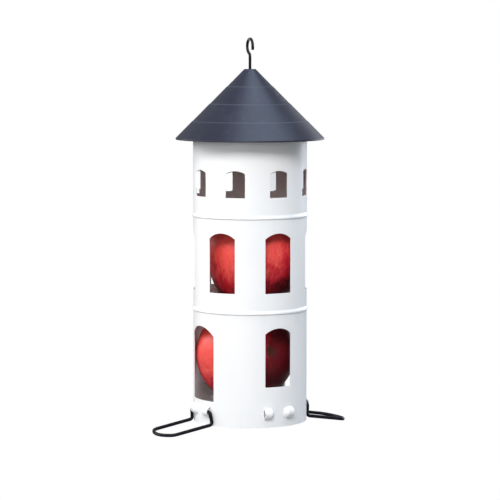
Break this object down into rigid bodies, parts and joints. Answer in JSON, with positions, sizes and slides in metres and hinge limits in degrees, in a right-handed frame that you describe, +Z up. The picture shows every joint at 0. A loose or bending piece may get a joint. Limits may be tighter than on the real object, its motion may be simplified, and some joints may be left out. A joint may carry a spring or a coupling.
{
  "type": "hanging bird feeder",
  "caption": "Hanging bird feeder shaped like a round castle tower: arched feeding windows, stepped cone roof that lifts on its hook rod, fold-up wire perches.",
  "frame": {"origin": "the inside of the hook's crown, where it bears on what it hangs from, on the tower's axis", "axes": "+Z up along the rod; the two perches point along -X and +X; +Y points to the back, away from the regular lower window at -Y"},
  "size_m": [0.1884, 0.1306, 0.3443],
  "materials": {
    "tower_coat": "white powder coat, satin",
    "rivet_coat": "white powder coat, satin",
    "pan_coat": "white powder coat, satin",
    "roof_coat": "slate blue-grey powder coat, satin",
    "rod_coat": "black coat on wire, semi-gloss",
    "perch_coat": "black coat on wire, semi-gloss",
    "strap_zinc": "zinc-plated flat bar",
    "fixing_zinc": "zinc-plated fixings",
    "apple_skin": "red waxy fruit skin",
    "apple_stalk": "dry brown stalk"
  },
  "bodies": {
    "hanger": {"hook_rod": "rod_coat", "rod_washer": "fixing_zinc", "rod_nut": "fixing_zinc", "rod_lock_nut": "fixing_zinc"},
    "tower": {"tower_shell": "tower_coat", "seam_rivet_1": "rivet_coat", "seam_rivet_2": "rivet_coat", "seam_rivet_3": "rivet_coat", "seam_rivet_4": "rivet_coat", "seam_rivet_5": "rivet_coat", "seam_rivet_6": "rivet_coat", "strap_rivet_1": "rivet_coat", "strap_rivet_2": "rivet_coat", "floor_pan": "pan_coat", "top_strap": "strap_zinc", "apple_lower": "apple_skin", "apple_upper": "apple_skin", "stalk_lower": "apple_stalk", "stalk_upper": "apple_stalk"},
    "roof": {"roof_cone": "roof_coat"},
    "left_perch": {"perch_left": "perch_coat"},
    "right_perch": {"perch_right": "perch_coat"}
  },
  "joints": [
    {"name": "tower_swivel", "type": "hinge", "parent": "hanger", "child": "tower", "pos_m": [0, 0, -0.07736], "axis": [0, 0, 1], "continuous": true},
    {"name": "roof_lift", "type": "slide", "parent": "tower", "child": "roof", "axis": [0, 0, 1], "range_m": [0, 0.0105]},
    {"name": "perch_left_fold", "type": "hinge", "parent": "tower", "child": "left_perch", "pos_m": [-0.04987, 0, -0.32241], "axis": [0, 1, 0], "range_deg": [0, 115]},
    {"name": "perch_right_fold", "type": "hinge", "parent": "tower", "child": "right_perch", "pos_m": [0.04987, 0, -0.32241], "axis": [0, -1, 0], "range_deg": [0, 115]}
  ]
}
